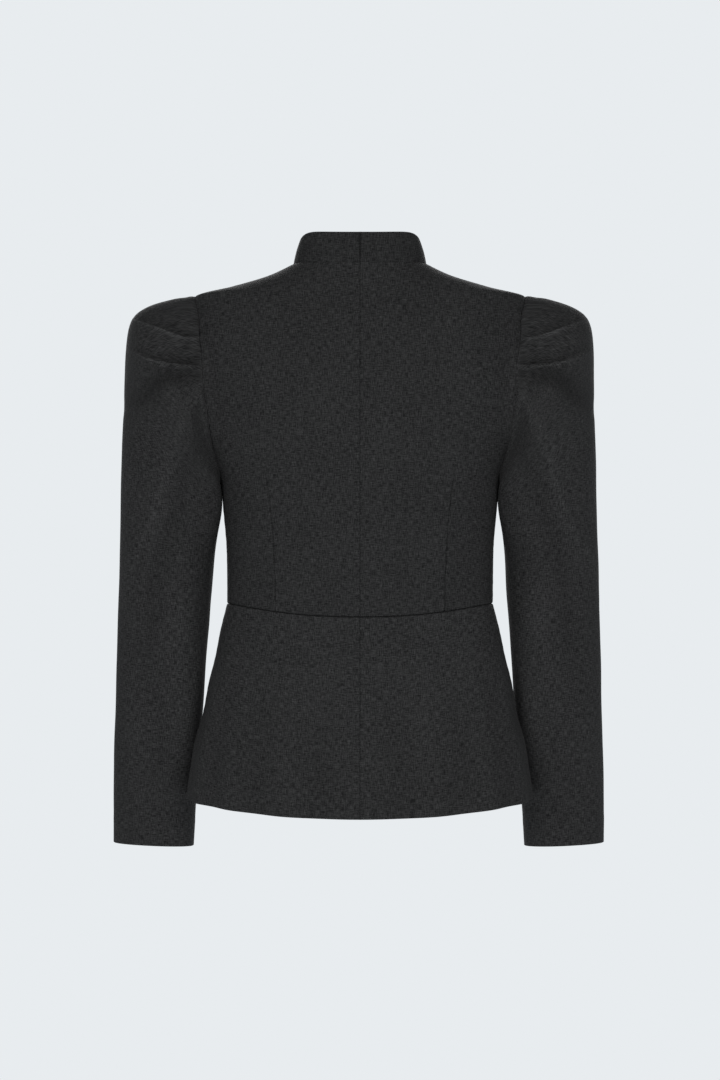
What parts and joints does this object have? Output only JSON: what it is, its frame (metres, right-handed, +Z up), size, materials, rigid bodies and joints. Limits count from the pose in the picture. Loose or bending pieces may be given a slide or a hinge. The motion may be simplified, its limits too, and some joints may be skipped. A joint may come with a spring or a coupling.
{
  "type": "short jacket",
  "caption": "Fitted short jacket, filled out as worn: stand collar, lapped front, waist seam with a flared peplum, long sleeves with full pleated heads.",
  "frame": {"origin": "on the middle plane at the level of the neck points, where the wearer's shoulders carry it", "axes": "+Z up, the front faces -Y, the wearer's left is +X"},
  "size_m": [0.552, 0.2492, 0.6754],
  "materials": {
    "wool": "matt charcoal wool melange"
  },
  "bodies": {
    "root": {"collar_left": "wool", "collar_right": "wool", "back_left": "wool", "back_right": "wool", "front_left": "wool", "front_right": "wool", "peplum_back_left": "wool", "peplum_back_right": "wool", "peplum_front_left": "wool", "peplum_front_right": "wool", "sleeve_left": "wool", "sleeve_right": "wool"}
  },
  "joints": []
}
